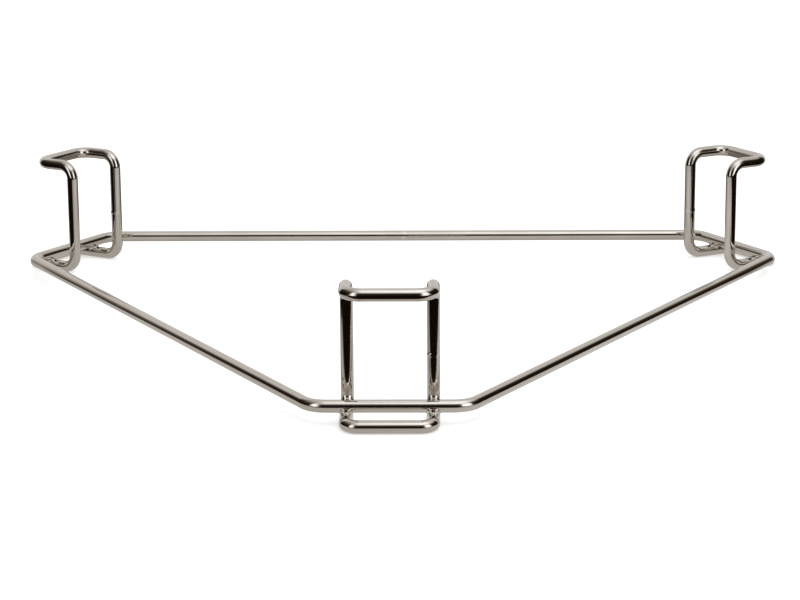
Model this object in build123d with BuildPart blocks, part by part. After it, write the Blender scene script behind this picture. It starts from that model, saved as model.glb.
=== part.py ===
from build123d import *
from math import cos, pi, sin
import os

# A three-point wire frame: a flat ring of round wire bent to a triangle with
# its corners cut off, and three upright C-shaped clips, each one closed loop
# of the same wire, welded across the ring's three short bars.
# Millimetres. +Z is up, z = 0 is the surface the clips' toes stand on, and the
# origin is the ring's centre. The front clip looks along -Y.

# ---- driving dimensions ----
# Wire lengths and bend radii are measured on the wire's centreline, and a
# length runs from corner to corner as if the corners were sharp.
wire_diameter = 5.0
rod_length = 285.0  # each long side of the ring
bar_length = 58.5  # each short side of the ring
ring_bend = 10.0
weld_sink = 0.2  # how far a foot and the bar on it are pressed together

clip_width = 32.4  # between a clip's two legs
clip_height = 53.2  # overall, from the standing surface to the clip's top
leg_inset = 14.8  # legs stand this far inside the bar
toe_overhang = 11.1  # from the bar out to the bottom crossbar
top_reach = 19.4  # from the legs out to the top crossbar
leg_top_bend = 6.0
leg_foot_bend = 6.0
top_corner_bend = 6.5
toe_corner_bend = 5.2

butt_weld_length = 1.0  # between a wire's two ends, filled by the weld
butt_weld_rise = 0.12  # how far the dressed weld stands proud of the wire
squeeze_radius = 3.1  # the metal squeezed out round each crossing
squeeze_height = 3.2

# Each clip's turn about the ring, and the side its butt weld is on: 1 is the
# right leg and -1 the left leg, seen from outside the ring.
clips = {"front": (-90, 1), "right": (30, 1), "left": (150, -1)}

# ---- dependent dimensions ----
wire_radius = wire_diameter / 2
foot_z = wire_radius
ring_z = foot_z + wire_diameter - weld_sink
arm_z = clip_height - wire_radius
half_rod, half_bar = rod_length / 2, bar_length / 2
rod_distance = (half_rod * cos(pi / 3) + half_bar) / sin(pi / 3)
bar_distance = (half_bar * cos(pi / 3) + half_rod) / sin(pi / 3)
leg_distance = bar_distance - leg_inset
top_distance = leg_distance + top_reach
toe_distance = bar_distance + toe_overhang
half_width = clip_width / 2
half_weld = butt_weld_length / 2
# A clip starts as a flat loop closed in the middle of one side, and is then
# folded, so its weld comes half-way along arm, leg and foot together.
folded_side = top_reach + (arm_z - foot_z) + (toe_distance - leg_distance)
clip_weld_z = arm_z - (folded_side / 2 - top_reach)


def spot(turn, reach, across, height):
    """A point given by its distance outwards, across and up, turned about Z."""
    return Vector(reach, across, height).rotate(Axis.Z, turn)


def bent_wire(points, bends, seated=None):
    """The round wire along a bent path, with a saddle where `seated` lies."""
    with BuildPart() as wire:
        with BuildLine() as path:
            FilletPolyline(*points, radius=bends)
        with BuildSketch(Plane(path.line @ 0, z_dir=path.line % 0)):
            Circle(wire_radius)
        sweep()
        if seated:
            add(seated, mode=Mode.SUBTRACT)
    return wire.part


def ring_points():
    """The ring's centreline, from one side of its butt weld to the other."""
    corners = []
    for turn in (90, 210, 330):
        corners += [spot(turn, rod_distance, side * half_rod, ring_z) for side in (-1, 1)]
    start = spot(90, rod_distance, half_weld, ring_z)
    end = spot(90, rod_distance, -half_weld, ring_z)
    return [start, *corners[1:], corners[0], end]


def clip_points(turn, side):
    """A clip's centreline, from the top of its butt weld round to the bottom."""
    near, far = side * half_width, -side * half_width
    corners = [
        (leg_distance, near, clip_weld_z + half_weld),
        (leg_distance, near, arm_z),
        (top_distance, near, arm_z),
        (top_distance, far, arm_z),
        (leg_distance, far, arm_z),
        (leg_distance, far, foot_z),
        (toe_distance, far, foot_z),
        (toe_distance, near, foot_z),
        (leg_distance, near, foot_z),
        (leg_distance, near, clip_weld_z - half_weld),
    ]
    return [spot(turn, *corner) for corner in corners]


def butt_weld(plane):
    """A thin disc of weld metal between two wire ends, a little proud."""
    with BuildPart() as weld:
        with BuildSketch(plane):
            Circle(wire_radius + butt_weld_rise)
        extrude(amount=half_weld, both=True)
        fillet(weld.edges(), butt_weld_rise * 0.9)
    return weld.part


def cross_weld(centre, *wires):
    """The lens of metal squeezed out between two crossing wires."""
    with BuildPart() as weld:
        with BuildSketch(Plane(centre, x_dir=(1, 0, 0), z_dir=(0, -1, 0))):
            Ellipse(squeeze_radius, squeeze_height / 2)
            Rectangle(
                squeeze_radius, squeeze_height, align=(Align.MAX, Align.CENTER), mode=Mode.SUBTRACT
            )
        revolve(axis=Axis(centre, (0, 0, 1)))
        for wire in wires:
            add(wire, mode=Mode.SUBTRACT)
    return weld.part


def save(shape, name):
    shape.label = name
    export_step(shape, f"parts/{name}.step")


os.makedirs("parts", exist_ok=True)

# ---- ring ----
base_ring = bent_wire(ring_points(), ring_bend)
save(base_ring, "base_ring")
save(butt_weld(Plane(spot(90, rod_distance, 0, ring_z), z_dir=(1, 0, 0))), "ring_butt_weld")

# ---- clips and their welds ----
clip_bends = [leg_top_bend, top_corner_bend, top_corner_bend, leg_top_bend]
clip_bends += [leg_foot_bend, toe_corner_bend, toe_corner_bend, leg_foot_bend]
for place, (turn, weld_side) in clips.items():
    clip_wire = bent_wire(clip_points(turn, weld_side), clip_bends, base_ring)
    save(clip_wire, f"{place}_clip")

    closed_at = spot(turn, leg_distance, weld_side * half_width, clip_weld_z)
    save(butt_weld(Plane(closed_at)), f"{place}_clip_butt_weld")

    for side, hand in ((1, "right"), (-1, "left")):
        crossing = spot(turn, bar_distance, side * half_width, (foot_z + ring_z) / 2)
        save(cross_weld(crossing, base_ring, clip_wire), f"{place}_clip_{hand}_foot_weld")
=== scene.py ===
# %% [markdown]
# # A three-point wire frame
# The object is bent from one size of round steel wire and plated with bright nickel. A flat ring
# with six bends carries three upright clips, each one closed loop folded to a C, and every joint
# is a weld. This lesson loads the measured frame, sets up the studio, and then makes the wires,
# the welds and their plating. All lengths are in metres, as Blender's are.

# %% Load the frame
import math
import bpy
import bmesh
from mathutils import Matrix, Vector, noise


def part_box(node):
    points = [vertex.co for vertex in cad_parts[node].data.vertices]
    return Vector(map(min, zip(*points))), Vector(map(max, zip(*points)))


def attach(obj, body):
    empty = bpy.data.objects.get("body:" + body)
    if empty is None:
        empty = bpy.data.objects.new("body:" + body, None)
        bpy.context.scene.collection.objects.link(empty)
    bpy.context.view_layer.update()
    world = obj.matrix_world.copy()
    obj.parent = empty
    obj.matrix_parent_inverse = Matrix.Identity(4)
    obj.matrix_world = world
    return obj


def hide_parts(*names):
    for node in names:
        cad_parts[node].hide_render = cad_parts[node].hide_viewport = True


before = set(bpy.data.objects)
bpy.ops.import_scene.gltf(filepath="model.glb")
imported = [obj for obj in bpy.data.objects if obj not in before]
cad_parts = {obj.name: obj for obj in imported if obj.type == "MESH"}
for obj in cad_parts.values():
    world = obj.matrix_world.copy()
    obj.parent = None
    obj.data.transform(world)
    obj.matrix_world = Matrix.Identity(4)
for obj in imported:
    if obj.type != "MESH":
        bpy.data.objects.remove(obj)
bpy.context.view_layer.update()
MM = 0.001
for name in sorted(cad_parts):
    low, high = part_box(name)
    print(name, [round(v / MM, 1) for v in high - low])

# %% [markdown]
# ## The camera
# The object is seen from just off its centre line and a little above. A camera can be placed by
# eye in the viewport, but then nobody can say where it stands. Here its place is worked out from
# an aim point, a distance and two angles, and a small roll levels the back rod. A long lens a
# little over a metre away keeps the three clips nearly the same size. A separate program fitted
# the numbers below, together with the wires' proportions.

# %% Find the camera's directions
AZIMUTH, ELEVATION, ROLL = 1.14, 13.69, -0.40  # degrees


def camera_directions():
    """The camera's right, up and look directions."""
    azimuth, elevation = math.radians(AZIMUTH), math.radians(ELEVATION)
    look = Vector((
        -math.sin(azimuth) * math.cos(elevation),
        math.cos(azimuth) * math.cos(elevation),
        -math.sin(elevation),
    ))
    level = Vector((math.cos(azimuth), math.sin(azimuth), 0))
    right = Matrix.Rotation(-math.radians(ROLL), 3, look) @ level
    return right, right.cross(look), look


right, up, look = camera_directions()
print("looking along", [round(v, 3) for v in look])

# %% Place the camera
AIM = Vector((0.5, -0.9, 3.7)) * MM
DISTANCE = 1.115
FOCAL_LENGTH, SENSOR_WIDTH = 114.17, 36  # millimetres

camera = bpy.data.objects.new("camera", bpy.data.cameras.new("camera"))
camera.matrix_world = Matrix((right, up, -look)).transposed().to_4x4()
camera.location = AIM - look * DISTANCE
camera.data.lens = FOCAL_LENGTH
camera.data.sensor_width = SENSOR_WIDTH
camera.data.clip_start = 0.01
bpy.context.scene.collection.objects.link(camera)
bpy.context.scene.camera = camera
print("camera at", [round(v, 3) for v in camera.location])

# %% [markdown]
# ## The studio
# A few small lamps would draw hard shadows across a white floor. An even white surround and one
# large lamp give soft light with hardly any shadow instead. The floor also glows a little, so
# that it stays white out to the edges of the view. The lamp is hidden from reflections, because
# what the plating shows is built separately, in the next step.

# %% Lay the white floor
FLOOR_HALF, FLOOR_COLOUR, FLOOR_GLOW = 6, (0.9, 0.9, 0.9), 0.38


def mesh_object(name, points, faces, material):
    mesh = bpy.data.meshes.new(name)
    mesh.from_pydata(points, [], faces)
    mesh.materials.append(material)
    made = bpy.data.objects.new(name, mesh)
    bpy.context.scene.collection.objects.link(made)
    return made


white = bpy.data.materials.new("white floor")
white.use_nodes = True
shader = white.node_tree.nodes["Principled BSDF"]
shader.inputs["Base Color"].default_value = (*FLOOR_COLOUR, 1)
shader.inputs["Roughness"].default_value = 0.9
shader.inputs["Specular IOR Level"].default_value = 0
shader.inputs["Emission Color"].default_value = (1, 1, 1, 1)
shader.inputs["Emission Strength"].default_value = FLOOR_GLOW
corners = [(x * FLOOR_HALF, y * FLOOR_HALF, 0) for x, y in ((-1, -1), (1, -1), (1, 1), (-1, 1))]
floor = mesh_object("floor", corners, [(0, 1, 2, 3)], white)
print("floor", 2 * FLOOR_HALF, "m square")

# %% Hang the soft lamp in a white surround
light = bpy.data.lights.new("soft lamp", "AREA")
light.shape = "RECTANGLE"
light.size, light.size_y = 0.95, 1.1
light.energy = 4.0
lamp = bpy.data.objects.new("soft lamp", light)
lamp.location = (0.35, -0.55, 1.2)
lamp.visible_glossy = False
bpy.context.scene.collection.objects.link(lamp)

world = bpy.data.worlds.new("white surround")
world.use_nodes = True
world.node_tree.nodes["Background"].inputs["Color"].default_value = (1, 1, 1, 1)
world.node_tree.nodes["Background"].inputs["Strength"].default_value = 0.9
bpy.context.scene.world = world
bpy.context.scene.view_settings.view_transform = "Standard"
print("lamp of", light.energy, "W at", [round(v, 2) for v in lamp.location])

# %% [markdown]
# ## The room in the plating
# Bright wire has almost no colour of its own, so what is seen on it is the room, and a white room
# alone makes it look like grey plastic. In a studio, black cards called flags stand where the
# metal should show a dark edge, and the gaps between them draw bright lines. A picture of a real
# room could be wrapped round the scene, but nothing could then be moved in it. So the room is
# built here: a drum of pale cloth round the object, with its own floor and ceiling. It is hidden
# from the camera, and lights nothing but reflections. A rule gives the brightness at each of its
# points, and soft steps from 0 to 1 draw every edge. Most of its angles, edges and brightnesses
# weren't chosen by eye: a separate program fitted them to what the real wires show from the
# front. They were then rounded, and a few were changed.

# %% Write the soft steps
def step(value, softness):
    """Goes from 0 to 1 as `value` passes zero."""
    return 0.5 + 0.5 * math.tanh(value / (2 * softness))


def between(turn, first, last, softness=2.5):
    """Is 1 from the first angle to the last, in degrees, and 0 elsewhere."""
    away = (turn - (first + last) / 2 + 180) % 360 - 180
    return step((last - first) / 2 - abs(away), softness)


def blend(share, first, second):
    return first * (1 - share) + second * share


print("a soft step:", [round(step(v, 1), 2) for v in (-4, -2, 0, 2, 4)])

# %% [markdown]
# ### The cloth
# Angles go round the object from its right-hand side, and up from the floor. The front, right and
# left flags are black, the gaps between them are bright, and the cloth is shaded on the left and
# a little at the back. A soft box hangs in the ceiling over the front.

# %% Set out the flags and the gaps
FLAGS = (  # first and last angle round the object, top angle, softness of the top edge
    (-117.5, -63, 39, 4.3),
    (-29, 42.5, 43, 3.3),
    (145, 219.5, 51, 6.6),
)
GAPS, GAP_TOP = ((-63, -29), (-140.5, -117.5)), 37


def gaps(turn):
    return sum(between(turn, first, last) for first, last in GAPS)


def flags(turn, rise):
    return sum(
        between(turn, first, last) * step(top - rise, softness)
        for first, last, top, softness in FLAGS
    )


print("at the front: flags", round(flags(-90, 0), 2), "gaps", round(gaps(-90), 2))

# %% Light the cloth
ROOM_RADIUS, ROOM_HEIGHT = 1.2, 1.2
CLOTH, BACK_CLOTH, BLACK_CLOTH = 0.84, 0.74, 0.010
GAP, SOFT_BOX = 1.75, 1.75
BACK_SIDE, BACK_TOP = (42.5, 146), 65
LEFT_SIDE, LEFT_TOP, LEFT_SHADE = (120, 240), 75, 0.28
BOX_SIDES, BOX_ENDS = (-0.13, 0.81), (-1.11, 0.01)


def soft_box(x, y, softness=0.12):
    (left, right), (front, back) = BOX_SIDES, BOX_ENDS
    across = step(x - left, softness) * step(right - x, softness)
    return across * step(y - front, softness) * step(back - y, softness)


def cloth_light(x, y, z):
    """Brightness of the drum's wall and ceiling."""
    turn = math.degrees(math.atan2(y, x))
    rise = math.degrees(math.atan2(z, math.hypot(x, y)))
    light = CLOTH - LEFT_SHADE * between(turn, *LEFT_SIDE, 15) * step(LEFT_TOP - rise, 5)
    light = blend(gaps(turn) * step(GAP_TOP - rise, 3), light, GAP)
    light = blend(between(turn, *BACK_SIDE) * step(BACK_TOP - rise, 5), light, BACK_CLOTH)
    light = blend(min(flags(turn, rise), 1), light, BLACK_CLOTH)
    if z > ROOM_HEIGHT * 0.999:
        light = blend(soft_box(x, y), light, SOFT_BOX)
    return light


print("flag", round(cloth_light(0, -1.2, 0.1), 3), "back", round(cloth_light(0, 1.2, 0.1), 2))

# %% [markdown]
# ### The board
# Under the object lies a pale board that ends close to it, and black floor follows, so the lower
# half of each wire shows pale first and then dark. The board spreads towards the back, where it
# is dim, most of all in the middle, and lacks a corner at the front right. It is brightest under
# the object's middle, except for one dim strip across it.

# %% Find the board's edges
BOARD_FRONT, BOARD_BACK = -0.21, 0.125
BOARD_LEFT, BOARD_RIGHT = -0.158, 0.172
CUT_CORNER = 0.318
EDGE = 0.004


def on_board(x, y):
    left = BOARD_LEFT - 0.5 * max(y, 0) - 0.69 * max(y - 0.06, 0)
    right = BOARD_RIGHT + 0.012 * step(-0.015 - y, 0.01) + 0.92 * max(y - 0.05, 0)
    sides = step(x - left, EDGE) * step(right - x, EDGE)
    return step(y - BOARD_FRONT, 0.003) * sides * step(CUT_CORNER - x + y, 0.006)


print("on the board:", round(on_board(0, 0), 2), "and left of it:", round(on_board(-0.3, 0), 2))

# %% Light the board
BLACK_FLOOR = 0.005
BACK_SIDES, BACK_MIDDLE, BACK_HALF = 0.40, 0.17, 0.167
STRIP_FRONT, STRIP_BACK, STRIP_HALF, STRIP_SHADE = 0.045, 0.085, 0.075, 0.28
GAP_START = 0.52


def middle_light(x, y):
    """Under the object: brighter to the right, fading outwards, with the dim strip across."""
    light = 0.75 + 0.37 * x - 5.9 * min(x * x, 0.04) - 4.2 * y * y - 3.5 * x * y
    strip = step(y - STRIP_FRONT, 0.006) * step(STRIP_BACK - y, EDGE)
    strip *= step(STRIP_HALF - abs(x), 0.012)
    return max(light - STRIP_SHADE * strip, 0.3)


def board_light(x, y):
    """Brightness of the room's floor: the board, and beyond it black with two bright gaps."""
    back = blend(step(BACK_HALF - abs(x), 0.015), BACK_SIDES, BACK_MIDDLE)
    light = blend(step(y - BOARD_BACK, 0.008), middle_light(x, y), back)
    turn = math.degrees(math.atan2(y, x))
    bright = gaps(turn) * step(math.hypot(x, y) - GAP_START, 0.02)
    beyond = blend(bright, BLACK_FLOOR, GAP)
    return blend(on_board(x, y), beyond, light)


print("board in the middle", round(board_light(0, 0), 2), "back", round(board_light(0, 0.2), 2))

# %% [markdown]
# ### Sheets that glow
# The rule's numbers are stored on a sheet's points, and an emission shader shows them. A lamp
# can't have a pattern like this, and a texture would need a picture. Dim cloth is a little warm,
# so a point's red is raised and its blue lowered by a small power. A sheet is seen by glossy rays
# alone, and is not sampled as a lamp, so it costs almost nothing.

# %% Glow by the stored brightness
def glow_material(name):
    material = bpy.data.materials.new(name)
    material.use_nodes = True
    nodes, links = material.node_tree.nodes, material.node_tree.links
    nodes.clear()
    stored = nodes.new("ShaderNodeAttribute")
    stored.attribute_name = "light"
    glow = nodes.new("ShaderNodeEmission")
    result = nodes.new("ShaderNodeOutputMaterial")
    links.new(stored.outputs["Color"], glow.inputs["Color"])
    links.new(glow.outputs[0], result.inputs["Surface"])
    material.cycles.emission_sampling = "NONE"
    return material


# %% Make a glowing sheet
WARMTH = 0.07


def grid_faces(columns, rows):
    return [
        (r * columns + c, r * columns + c + 1, (r + 1) * columns + c + 1, (r + 1) * columns + c)
        for r in range(rows - 1)
        for c in range(columns - 1)
    ]


def glowing_sheet(name, points, columns, lights):
    faces = grid_faces(columns, len(points) // columns)
    sheet = mesh_object(name, points, faces, glow_material(name))
    colours = sheet.data.attributes.new("light", "FLOAT_COLOR", "POINT")
    warm = [part for v in lights for part in (v ** (1 - WARMTH), v, v ** (1 + WARMTH), 1.0)]
    colours.data.foreach_set("color", warm)
    sheet.visible_camera = sheet.visible_diffuse = sheet.visible_shadow = False
    sheet.visible_transmission = sheet.visible_volume_scatter = False
    print(name, len(points), "points")


# %% Raise the room's wall and ceiling
TURNS = [math.radians(2 * k) for k in range(181)]
SHARES = [k / 40 for k in range(41)]


def round_row(radius, height):
    return [(radius * math.cos(turn), radius * math.sin(turn), height) for turn in TURNS]


wall = [point for share in SHARES for point in round_row(ROOM_RADIUS, ROOM_HEIGHT * share)]
ceiling = [point for share in SHARES for point in round_row(ROOM_RADIUS * share, ROOM_HEIGHT)]
glowing_sheet("room wall", wall, len(TURNS), [cloth_light(*point) for point in wall])
glowing_sheet("room ceiling", ceiling, len(TURNS), [cloth_light(*point) for point in ceiling])

# %% Lay the room's floor
# its points lie 2.5 mm apart round the board's edges, and further apart beyond them
FLOOR_HEIGHT = 0.05 * MM  # just over the white floor

fine = [0.0025 * k for k in range(-104, 105)]
coarse = [0.28 + 0.02 * k for k in range(8)] + [0.44 + 0.04 * k for k in range(20)]
lines = [-v for v in reversed(coarse)] + fine + coarse
base = [(x, y, FLOOR_HEIGHT) for y in lines for x in lines]
glowing_sheet("room floor", base, len(lines), [board_light(x, y) for x, y, z in base])

# %% [markdown]
# ## Measuring the wire
# The frame's boxes give the sizes that the wires need: the ring is one wire thick, so its height
# is the wire's diameter, and its back and front edges give how far out the long rods and the short
# bars lie. The front clip's box gives the legs, the toe and the height. The same numbers could be
# typed in, but measured ones follow the frame if it changes. Only the bend radii and the top
# arms' reach can't be read from a box, so they are written here.

# %% Measure the ring
ring_low, ring_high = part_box("base_ring")
wire_radius = (ring_high.z - ring_low.z) / 2
ring_z = (ring_high.z + ring_low.z) / 2
rod_distance = ring_high.y - wire_radius
bar_distance = -ring_low.y - wire_radius
RING_BEND = 10.0 * MM
print("wire", round(2 * wire_radius / MM, 2), "mm, bars at", round(bar_distance / MM, 2), "mm")

# %% Measure a clip
TOP_REACH = 19.4 * MM
LEG_BEND, TOP_BEND, TOE_BEND = 6.0 * MM, 6.5 * MM, 5.2 * MM

clip_low, clip_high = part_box("front_clip")
half_width = (clip_high.x - clip_low.x) / 2 - wire_radius
leg_distance = -clip_high.y + wire_radius
toe_distance = -clip_low.y - wire_radius
top_distance = leg_distance + TOP_REACH
arm_z, foot_z = clip_high.z - wire_radius, clip_low.z + wire_radius
print("legs", round(2 * half_width / MM, 2), "mm apart, toe at", round(toe_distance / MM, 2), "mm")

# %% [markdown]
# ## Wire that follows a path
# Every wire here is the same thing: a row of corners, each rounded to its own bend radius, with a
# circle swept along it. A curve with a round bevel would give the shape, but it keeps no record of
# where a point lies on the wire, and the plating needs that. So a Geometry Nodes tree holds the
# rule. Fillet Curve rounds the corners, Curve to Mesh sweeps the circle, and four values are kept
# on the way: `along`, the length from the weld; `bent`, how far into a bend a point lies;
# `inwards`, the way to the bend's centre; and `section`, the place in the wire's round section.

# %% Write short words for adding and linking nodes
class Wiring:
    """A node tree, with short words for adding nodes and linking them."""

    def __init__(self, tree):
        self.tree = tree

    def node(self, kind, **settings):
        """Adds a node. A setting is the name of a socket, or else of an option."""
        made = self.tree.nodes.new(kind)
        for key, value in settings.items():
            if key in made.inputs:
                made.inputs[key].default_value = value
            else:
                setattr(made, key, value)
        return made

    def link(self, source, target):
        self.tree.links.new(source, target)

    def fill(self, sockets, values):
        """Sets a socket to a number, or links another node's output to it."""
        for socket, value in zip(sockets, values):
            if isinstance(value, (int, float)):
                socket.default_value = value
            else:
                self.link(value, socket)


# %% Start the tree
INPUTS = {
    "Corners": "NodeSocketGeometry",
    "Wire Radius": "NodeSocketFloat",
    "Bend Steps": "NodeSocketInt",
    "Round Steps": "NodeSocketInt",
    "Plating": "NodeSocketMaterial",
}

bent_wire = bpy.data.node_groups.new("Bent wire", "GeometryNodeTree")
for name, kind in INPUTS.items():
    bent_wire.interface.new_socket(name=name, in_out="INPUT", socket_type=kind)
bent_wire.interface.new_socket(name="Wire", in_out="OUTPUT", socket_type="NodeSocketGeometry")
wiring = Wiring(bent_wire)
given = wiring.node("NodeGroupInput").outputs
result = wiring.node("NodeGroupOutput").inputs
print("inputs:", ", ".join(INPUTS))

# %% Round the corners
path = wiring.node("GeometryNodeMeshToCurve")
bend_radius = wiring.node("GeometryNodeInputNamedAttribute", data_type="FLOAT", Name="bend")
fillet = wiring.node("GeometryNodeFilletCurve", mode="POLY")
wiring.link(given["Corners"], path.inputs["Mesh"])
wiring.link(path.outputs["Curve"], fillet.inputs["Curve"])
wiring.link(given["Bend Steps"], fillet.inputs["Count"])
wiring.link(bend_radius.outputs["Attribute"], fillet.inputs["Radius"])
print("rounded by", fillet.bl_label)


# %% Keep the length along the wire
def keep(name, kind, geometry, value):
    """Stores a value on every point, and gives the geometry on."""
    settings = {"data_type": kind, "domain": "POINT", "Name": name}
    store = wiring.node("GeometryNodeStoreNamedAttribute", **settings)
    wiring.link(geometry, store.inputs["Geometry"])
    wiring.link(value, store.inputs["Value"])
    return store.outputs["Geometry"]


length = wiring.node("GeometryNodeSplineParameter").outputs["Length"]
rounded = keep("along", "FLOAT", fillet.outputs["Curve"], length)
print("kept on the path: along")

# %% [markdown]
# ### Where the wire is bent
# The fillet turns each corner into a row of points, one more than the bend's steps, and a single
# point at the weld comes before the first row. So the remainder of a division tells a point's
# place in its row, and a sine makes that 0 where a bend starts and ends and 1 in its middle. The
# way to the bend's centre is the sum of the ways to a point's two neighbours. Painting the bends
# by hand would do for one wire, but this marks every bend of every wire.

# %% Mark the bends
def maths(tree, operation, *values):
    made = tree.node("ShaderNodeMath", operation=operation)
    tree.fill(made.inputs, values)
    return made.outputs[0]


index = wiring.node("GeometryNodeInputIndex").outputs[0]
row = maths(wiring, "ADD", given["Bend Steps"], 1)
place_in_row = maths(wiring, "FLOORED_MODULO", maths(wiring, "SUBTRACT", index, 1), row)
turned = maths(wiring, "DIVIDE", place_in_row, given["Bend Steps"])
hump = maths(wiring, "SINE", maths(wiring, "MULTIPLY", turned, math.pi))
rounded = keep("bent", "FLOAT", rounded, hump)
print("kept on the path: bent")

# %% Find the inside of each bend
position = wiring.node("GeometryNodeInputPosition").outputs["Position"]


def vectors(tree, operation, *values):
    made = tree.node("ShaderNodeVectorMath", operation=operation)
    tree.fill(made.inputs, values)
    return made.outputs["Value" if operation == "DOT_PRODUCT" else "Vector"]


def way_to_neighbour(steps_on):
    there = wiring.node("GeometryNodeFieldAtIndex", data_type="FLOAT_VECTOR", domain="POINT")
    wiring.link(maths(wiring, "ADD", index, steps_on), there.inputs["Index"])
    wiring.link(position, there.inputs["Value"])
    return vectors(wiring, "SUBTRACT", there.outputs[0], position)


both_ways = vectors(wiring, "ADD", way_to_neighbour(1), way_to_neighbour(-1))
rounded = keep("inwards", "FLOAT_VECTOR", rounded, vectors(wiring, "NORMALIZE", both_ways))
print("kept on the path: inwards")

# %% Sweep a circle along the path
circle = wiring.node("GeometryNodeCurvePrimitiveCircle", mode="RADIUS")
wiring.link(given["Round Steps"], circle.inputs["Resolution"])
wiring.link(given["Wire Radius"], circle.inputs["Radius"])
section = keep("section", "FLOAT_VECTOR", circle.outputs["Curve"], position)
sweep = wiring.node("GeometryNodeCurveToMesh")
smooth = wiring.node("GeometryNodeSetShadeSmooth")
real = wiring.node("GeometryNodeRealizeInstances")
plate = wiring.node("GeometryNodeSetMaterial")
wiring.link(rounded, sweep.inputs["Curve"])
wiring.link(section, sweep.inputs["Profile Curve"])
wiring.link(sweep.outputs["Mesh"], smooth.inputs["Geometry"])
wiring.link(smooth.outputs["Geometry"], real.inputs["Geometry"])
wiring.link(real.outputs["Geometry"], plate.inputs["Geometry"])
wiring.link(given["Plating"], plate.inputs["Material"])
wiring.link(plate.outputs["Geometry"], result["Wire"])
print("the tree has", len(bent_wire.nodes), "nodes")

# %% [markdown]
# ## Bright nickel
# Nickel is a slightly warm white metal. Bright plating over drawn wire keeps a trace of the wire
# under it: very fine lines along its length, a faint orange peel from the plating bath, and here
# and there a pit. A bend stretches the skin on its outside and pinches it on its inside. Metal
# with one even colour and roughness would look like glass, and a picture of scratches would need
# a map of every wire. So each of these marks is a small height worked out by nodes, and a chain
# of bumps adds them up. What follows the wire round its bends reads the values that the tree
# kept, and the rest reads Object coordinates, so that nothing stretches.

# %% Start the nickel
class Plating(Wiring):
    """A metal finish, built from a material's nodes."""

    def __init__(self, name):
        self.material = bpy.data.materials.new(name)
        self.material.use_nodes = True
        super().__init__(self.material.node_tree)
        self.shader = self.tree.nodes["Principled BSDF"]
        self.shader.inputs["Metallic"].default_value = 1
        self.place = self.node("ShaderNodeTexCoord").outputs["Object"]

    def kept(self, name, output="Fac"):
        """A value that the bent wire tree has kept."""
        return self.node("ShaderNodeAttribute", attribute_name=name).outputs[output]


def split(finish, vector):
    parts = finish.node("ShaderNodeSeparateXYZ")
    finish.link(vector, parts.inputs[0])
    return parts.outputs


nickel = Plating("bright nickel")
along, bent = nickel.kept("along"), nickel.kept("bent")
section_x, section_y, _ = split(nickel, nickel.kept("section", "Vector"))
print("started", nickel.material.name)

# %% Draw lines along the wire
FINE_LINES, STREAKS = 5200, 1500  # how many fit in a metre
SHRINK = 0.02  # the wire's length counts for this much, which draws the spots out into lines


def combine(finish, *values):
    made = finish.node("ShaderNodeCombineXYZ")
    finish.fill(made.inputs, values)
    return made.outputs[0]


def clouds(finish, where, scale, detail=3.0, roughness=0.5):
    made = finish.node("ShaderNodeTexNoise", Scale=scale, Detail=detail, Roughness=roughness)
    finish.link(where, made.inputs["Vector"])
    return made.outputs["Fac"]


drawn = combine(nickel, section_x, section_y, maths(nickel, "MULTIPLY", along, SHRINK))
fine_lines = clouds(nickel, drawn, FINE_LINES, 2.0)
streaks = clouds(nickel, drawn, STREAKS, 3.0, 0.6)
print("drawn lines are", round(1 / SHRINK), "times as long as they are wide")

# %% Raise the orange peel
# it is coarser and deeper where bending has stretched the skin
PEEL, COARSE_PEEL = 900, 520


def remap(finish, value, low, high, to_low=0, to_high=1):
    ends = {"From Min": low, "From Max": high, "To Min": to_low, "To Max": to_high}
    made = finish.node("ShaderNodeMapRange", **ends)
    finish.link(value, made.inputs["Value"])
    return made.outputs["Result"]


peel = clouds(nickel, nickel.place, PEEL, 2.0)
coarse_peel = clouds(nickel, nickel.place, COARSE_PEEL, 3.0, 0.6)
stretched = maths(nickel, "MULTIPLY", coarse_peel, remap(nickel, bent, 0.1, 0.8))
print("lumps", round(1 / PEEL / MM, 1), "mm wide, at bends", round(1 / COARSE_PEEL / MM, 1), "mm")

# %% Crease the inside of the bends
CREASES, WIDEN = 1100, 0.3  # how many fit in a metre, and how far each is drawn out sideways

normal = nickel.node("ShaderNodeNewGeometry").outputs["Normal"]
facing_in = vectors(nickel, "DOT_PRODUCT", normal, nickel.kept("inwards", "Vector"))
across_x, across_y = (maths(nickel, "MULTIPLY", part, WIDEN) for part in (section_x, section_y))
across = combine(nickel, across_x, across_y, along)
inside, well_bent = remap(nickel, facing_in, 0.1, 0.8), remap(nickel, bent, 0.3, 0.9)
pinched = maths(nickel, "MULTIPLY", inside, well_bent)
creases = maths(nickel, "MULTIPLY", clouds(nickel, across, CREASES, 2.0), pinched)
print("creases", round(1 / CREASES / MM, 1), "mm apart")

# %% Dent a few pits
# one small dent in about a sixth of the cells
PIT_CELLS = 270.0

cells = nickel.node("ShaderNodeTexVoronoi", feature="F1", Scale=PIT_CELLS)
nickel.link(nickel.place, cells.inputs["Vector"])
draw = nickel.node("ShaderNodeSeparateColor")
nickel.link(cells.outputs["Color"], draw.inputs[0])
chosen = remap(nickel, draw.outputs[0], 0.83, 0.84)
pits = maths(nickel, "MULTIPLY", remap(nickel, cells.outputs["Distance"], 0.03, 0.09, 1, 0), chosen)
print("one cell for a pit every", round(1 / PIT_CELLS / MM, 1), "mm")

# %% Dress the stretch beside the ring's weld
# a fine belt has dulled the back rod there
DRESSED_MIDDLE, DRESSED_HALF = 16 * MM, 20 * MM

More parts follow.
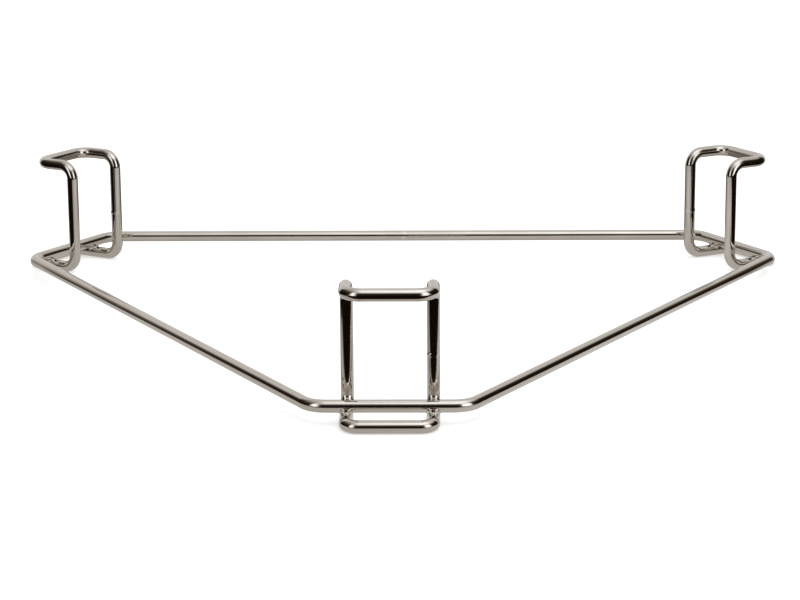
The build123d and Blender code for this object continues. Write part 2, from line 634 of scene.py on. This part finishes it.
place_x, place_y, _ = split(nickel, nickel.place)
off_middle = maths(nickel, "ABSOLUTE", maths(nickel, "SUBTRACT", place_x, DRESSED_MIDDLE))
at_back = remap(nickel, place_y, rod_distance - 4 * MM, rod_distance - 3.5 * MM)
near_weld = remap(nickel, off_middle, 0.6 * DRESSED_HALF, DRESSED_HALF, 1, 0)
dressed = maths(nickel, "MULTIPLY", near_weld, at_back)
print("dressed over", round(2 * DRESSED_HALF / MM), "mm")

# %% Colour the nickel
NICKEL = (0.555, 0.518, 0.466)
BRIGHT_NICKEL = (0.665, 0.628, 0.577)
HAZE = 45


def mix(finish, share, first, second):
    made = finish.node("ShaderNodeMix", data_type="RGBA")
    made.inputs[6].default_value = (*first, 1)  # sockets 6 and 7 are its two colours
    made.inputs[7].default_value = (*second, 1)
    finish.link(share, made.inputs["Factor"])
    return made.outputs[2]


haze = clouds(nickel, nickel.place, HAZE, 4.0, 0.6)
hazy, streaky = maths(nickel, "MULTIPLY", haze, 0.45), maths(nickel, "MULTIPLY", streaks, 0.55)
worn = maths(nickel, "ADD", hazy, streaky)
tone = mix(nickel, remap(nickel, worn, 0.36, 0.62), BRIGHT_NICKEL, NICKEL)
nickel.link(tone, nickel.shader.inputs["Base Color"])
print("nickel from", BRIGHT_NICKEL, "to", NICKEL)

# %% Roughen it where it is dressed or pitted
SMOOTH, HAZY, DULLED = 0.03, 0.09, 0.2

rough = remap(nickel, haze, 0.3, 0.75, SMOOTH, HAZY)
for mark in (dressed, pits):
    rough = maths(nickel, "ADD", rough, maths(nickel, "MULTIPLY", mark, DULLED))
nickel.link(rough, nickel.shader.inputs["Roughness"])
print("roughness from", SMOOTH, "to", HAZY, "and up to", DULLED, "more on a mark")

# %% Add up the bumps
BUMPS = (  # what stands up, how high it stands, and how strongly it tilts the light
    (fine_lines, 0.004 * MM, 0.5),
    (peel, 0.02 * MM, 0.5),
    (stretched, 0.08 * MM, 0.5),
    (creases, 0.12 * MM, 0.8),
    (maths(nickel, "MULTIPLY", pits, -1), 0.03 * MM, 0.8),
)


def bump(finish, height, distance, strength, before):
    made = finish.node("ShaderNodeBump", Distance=distance, Strength=strength)
    finish.link(height, made.inputs["Height"])
    if before:
        finish.link(before, made.inputs["Normal"])
    return made.outputs["Normal"]


surface = None
for height, distance, strength in BUMPS:
    surface = bump(nickel, height, distance, strength, surface)
nickel.link(surface, nickel.shader.inputs["Normal"])
print(nickel.material.name, "has", len(nickel.tree.nodes), "nodes")

# %% [markdown]
# ### Nickel over a weld
# Weld metal sets with a grainy skin, and the plating over it is a little duller and blotchy. The
# beads have no drawn lines, so Object coordinates are all that this finish needs.

# %% Plate the welds
DULL_NICKEL = (0.54, 0.505, 0.455)
GRAIN, BLOTCHES = 1100, 420

weld_nickel = Plating("nickel over weld")
grain = clouds(weld_nickel, weld_nickel.place, GRAIN, 2.0)
blotches = clouds(weld_nickel, weld_nickel.place, BLOTCHES)
weld_tone = mix(weld_nickel, remap(weld_nickel, blotches, 0.4, 0.7), BRIGHT_NICKEL, DULL_NICKEL)
weld_rough = remap(weld_nickel, grain, 0.3, 0.7, 0.05, 0.14)
weld_nickel.link(weld_tone, weld_nickel.shader.inputs["Base Color"])
weld_nickel.link(weld_rough, weld_nickel.shader.inputs["Roughness"])
weld_bump = bump(weld_nickel, grain, 0.012 * MM, 0.6, None)
weld_nickel.link(weld_bump, weld_nickel.shader.inputs["Normal"])
print(weld_nickel.material.name, "has", len(weld_nickel.tree.nodes), "nodes")

# %% [markdown]
# ## Bending the ring and the clips
# A wire's corners become a small mesh of points and edges, with each corner's bend radius stored
# on its point. The tree turns that into wire. The modifier could stay live, but then every later
# step would have to evaluate it, so the result is kept as a plain mesh and the path is removed.

# %% Measure a made piece
def point_outwards(made):
    """Turns the faces outwards, and prints what was made."""
    shape = bmesh.new()
    shape.from_mesh(made.data)
    bmesh.ops.recalc_face_normals(shape, faces=shape.faces)
    open_edges = sum(not edge.is_manifold for edge in shape.edges)
    volume = round(shape.calc_volume() / MM**3)
    print(made.name, len(shape.faces), "faces,", open_edges, "open edges,", volume, "mm3")
    shape.to_mesh(made.data)
    shape.free()


# %% Lay out a wire's corners
def wire_path(name, corners):
    """A closed loop of points, each with its bend radius."""
    mesh = bpy.data.meshes.new(name)
    count = len(corners)
    edges = [(k, (k + 1) % count) for k in range(count)]
    mesh.from_pydata([point for point, _ in corners], edges, [])
    radii = mesh.attributes.new("bend", "FLOAT", "POINT")
    radii.data.foreach_set("value", [radius for _, radius in corners])
    made = bpy.data.objects.new(name, mesh)
    bpy.context.scene.collection.objects.link(made)
    return made


# %% Turn corners into wire
ROUND_STEPS, BEND_STEPS = 64, 24


def socket_id(tree, name):
    return next(item.identifier for item in tree.interface.items_tree if item.name == name)


def make_wire(name, corners):
    drawn_path = wire_path(name + " path", corners)
    modifier = drawn_path.modifiers.new("wire", "NODES")
    modifier.node_group = bent_wire
    modifier[socket_id(bent_wire, "Wire Radius")] = wire_radius
    modifier[socket_id(bent_wire, "Bend Steps")] = BEND_STEPS
    modifier[socket_id(bent_wire, "Round Steps")] = ROUND_STEPS
    modifier[socket_id(bent_wire, "Plating")] = nickel.material
    graph = bpy.context.evaluated_depsgraph_get()
    mesh = bpy.data.meshes.new_from_object(drawn_path.evaluated_get(graph))
    mesh.name = name
    bpy.data.objects.remove(drawn_path)
    made = bpy.data.objects.new(name, mesh)
    bpy.context.scene.collection.objects.link(made)
    point_outwards(made)
    return made


# %% [markdown]
# ### The ring
# The ring is one wire with six bends, closed by a weld in the middle of the back rod. A piece
# that repeats by thirds is easiest to say as places that are turned about the middle: how far
# out, how far across and how high. Each corner is where a long rod's line meets a short bar's.
# The last short step of the loop lies inside its butt weld.

# %% Bend the ring
HALF_WELD = 0.5 * MM


def spot(turn, reach, across, height):
    """A point so far out, across and up, turned about Z by so many degrees."""
    return Matrix.Rotation(math.radians(turn), 3, "Z") @ Vector((reach, across, height))


def ring_corners():
    half_rod = (bar_distance - rod_distance / 2) / math.sin(math.radians(60))
    corners = [(spot(90, rod_distance, HALF_WELD, ring_z), 0.0)]
    for turn in (90, 210, 330):
        for side in (-1, 1):
            corners.append((spot(turn, rod_distance, side * half_rod, ring_z), RING_BEND))
    last_bend = corners.pop(1)
    return corners + [last_bend, (spot(90, rod_distance, -HALF_WELD, ring_z), 0.0)]


def stands_for(piece, node):
    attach(piece, "root")
    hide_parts(node)


stands_for(make_wire("ring_wire", ring_corners()), "base_ring")

# %% [markdown]
# ### The clips
# A clip is a rounded rectangle of wire, folded twice into a C: two legs, two arms that reach out
# over the ring with a crossbar at their end, and two feet that run out under it to the toe. Its
# eight corners are listed in the order in which the wire passes them. One clip could be copied
# and turned for the others, but the left one is a mirror image, and mirrored meshes turn inside
# out, so each is bent from its own list. A clip was closed in the middle of one flat side before
# it was folded, and that is where its weld sits on the leg.

# %% Bend the clips
CLIPS = {"front": (-90, 1), "right": (30, 1), "left": (150, -1)}  # turn, side of the weld


def clip_weld_height():
    top, toe = top_distance - leg_distance, toe_distance - leg_distance
    return arm_z - ((top + arm_z - foot_z + toe) / 2 - top)


def clip_corners(turn, side):
    near, far = side * half_width, -side * half_width
    height = clip_weld_height()
    rows = [
        (leg_distance, near, height + HALF_WELD, 0.0),
        (leg_distance, near, arm_z, LEG_BEND),
        (top_distance, near, arm_z, TOP_BEND),
        (top_distance, far, arm_z, TOP_BEND),
        (leg_distance, far, arm_z, LEG_BEND),
        (leg_distance, far, foot_z, LEG_BEND),
        (toe_distance, far, foot_z, TOE_BEND),
        (toe_distance, near, foot_z, TOE_BEND),
        (leg_distance, near, foot_z, LEG_BEND),
        (leg_distance, near, height - HALF_WELD, 0.0),
    ]
    return [(spot(turn, reach, across, up), bend) for reach, across, up, bend in rows]


for place, (turn, side) in CLIPS.items():
    clip = make_wire(place + "_clip_wire", clip_corners(turn, side))
    stands_for(clip, place + "_clip")

# %% [markdown]
# ## Butt welds
# Each loop is closed by pressing its hot ends together. The flash is dressed off, which leaves a
# faint uneven collar a couple of millimetres long, and a trace of flash on one side. A bump could
# fake it, but the collar shows at the wire's edge, so it is real: rings of points round the axis
# that swell and dip under the wire's surface at both ends, with some unevenness from a noise that
# always gives the same answer.

# %% Shape a collar
COLLAR_HALF = 1.4 * MM
COLLAR_RISE, FLASH_RISE = 0.035 * MM, 0.16 * MM
COLLAR_GRAIN = 1.3 * MM


def collar_point(centre, axis, direction, share, flash):
    """`share` runs from -1 to 1 along the collar."""
    base = centre + axis * share * COLLAR_HALF + direction * wire_radius
    rough = noise.noise(base / COLLAR_GRAIN)
    swell = COLLAR_RISE * (math.cos(share * math.pi / 2) * (1 + 0.8 * rough) - 0.35)
    facing = max(direction.dot(flash.normalized()), 0)
    swell += FLASH_RISE * facing**14 * math.exp(-((share / 0.4) ** 2)) * (1 + rough)
    return base + direction * swell


print("a collar is", round(2 * COLLAR_HALF / MM, 1), "mm long")

# %% Close a collar
COLLAR_RINGS, COLLAR_SIDES = 25, 72


def collar_faces():
    """The sides, and a fan to a middle point at each end."""
    faces = []
    around = [(n, (n + 1) % COLLAR_SIDES) for n in range(COLLAR_SIDES)]
    for k in range(COLLAR_RINGS - 1):
        here, there = k * COLLAR_SIDES, (k + 1) * COLLAR_SIDES
        faces += [(here + n, here + after, there + after, there + n) for n, after in around]
    count = COLLAR_RINGS * COLLAR_SIDES
    for first, middle in ((0, count), (count - COLLAR_SIDES, count + 1)):
        faces += [(first + n, first + after, middle) for n, after in around]
    return faces


def butt_weld(name, centre, axis, flash):
    """A closed collar on the wire that runs along `axis`, with flash left on one side."""
    across = axis.orthogonal().normalized()
    other = axis.cross(across)
    points = []
    for k in range(COLLAR_RINGS):
        share = 2 * k / (COLLAR_RINGS - 1) - 1
        for n in range(COLLAR_SIDES):
            angle = 2 * math.pi * n / COLLAR_SIDES
            direction = math.cos(angle) * across + math.sin(angle) * other
            points.append(collar_point(centre, axis, direction, share, flash))
    points += [centre + axis * share * COLLAR_HALF for share in (-1, 1)]
    made = mesh_object(name, points, collar_faces(), weld_nickel.material)
    made.data.shade_smooth()
    point_outwards(made)
    return made


# %% Add the butt welds
X_AXIS, Z_AXIS = Vector((1, 0, 0)), Vector((0, 0, 1))

middle = Vector((0, rod_distance, ring_z))
ring_weld = butt_weld("ring_butt_bead", middle, X_AXIS, Vector((0, 1, -1)))
stands_for(ring_weld, "ring_butt_weld")
for place, (turn, side) in CLIPS.items():
    centre = spot(turn, leg_distance, side * half_width, clip_weld_height())
    collar = butt_weld(place + "_clip_butt_bead", centre, Z_AXIS, spot(turn, 1, -side, 0))
    stands_for(collar, place + "_clip_butt_weld")

# %% [markdown]
# ## Foot welds
# Where a foot crosses under a bar, the two wires are squeezed together hot, and metal wells up in
# the corners between them. Its surface is a smooth blend of the two round wires. Metaballs would
# blend them too, but lumpily, and far more of them than the corners need. Here every point of a
# fine ball is moved along its own direction to where a blended distance to the two wires is zero.
# Away from the corners the blend is the wires themselves, and there the bead stays a hair under
# their surface.

# %% Blend two crossing wires
BLEND = 2.0 * MM
BEAD_SINK = 0.03 * MM
BEAD_GRAIN = 1.8 * MM


def off_wire(point, axis):
    """Distance outside a wire that runs through the origin."""
    return (point - axis * point.dot(axis)).length - wire_radius


def blended_distance(point, bar_axis, foot_axis, centre):
    """Distance outside the two crossing wires, blended in the corners."""
    gap = Vector((0, 0, (ring_z - foot_z) / 2))
    to_bar = off_wire(point - centre - gap, bar_axis)
    to_foot = off_wire(point - centre + gap, foot_axis)
    overlap = max(BLEND - abs(to_bar - to_foot), 0) / BLEND
    uneven = 1 + 0.25 * noise.noise(point / BEAD_GRAIN)
    return min(to_bar, to_foot) - overlap**2 * BLEND / 4 * uneven + BEAD_SINK


print("the wires' axes cross", round((ring_z - foot_z) / MM, 2), "mm apart")

# %% Swell a ball into a bead
BEAD_REACH = 5.4 * MM
HALVINGS = 18


def bead_reach(direction, bar_axis, foot_axis, centre):
    """How far out the bead's surface lies, found by halving the range again and again."""
    inside, outside = 0.0, BEAD_REACH
    if blended_distance(centre + direction * outside, bar_axis, foot_axis, centre) <= 0:
        return outside
    for _ in range(HALVINGS):
        middle = (inside + outside) / 2
        if blended_distance(centre + direction * middle, bar_axis, foot_axis, centre) > 0:
            outside = middle
        else:
            inside = middle
    return outside


def foot_weld(name, centre, bar_axis, foot_axis):
    ball = bmesh.new()
    bmesh.ops.create_icosphere(ball, subdivisions=6, radius=1)
    for vertex in ball.verts:
        direction = vertex.co.normalized()
        vertex.co = centre + direction * bead_reach(direction, bar_axis, foot_axis, centre)
    mesh = bpy.data.meshes.new(name)
    ball.to_mesh(mesh)
    ball.free()
    mesh.materials.append(weld_nickel.material)
    mesh.shade_smooth()
    made = bpy.data.objects.new(name, mesh)
    bpy.context.scene.collection.objects.link(made)
    point_outwards(made)
    return made


# %% Add the foot welds
for place, (turn, _) in CLIPS.items():
    outwards, sideways = spot(turn, 1, 0, 0), spot(turn, 0, 1, 0)
    for side, hand in ((1, "right"), (-1, "left")):
        centre = spot(turn, bar_distance, side * half_width, (ring_z + foot_z) / 2)
        bead = foot_weld(f"{place}_clip_{hand}_foot_bead", centre, sideways, outwards)
        stands_for(bead, f"{place}_clip_{hand}_foot_weld")
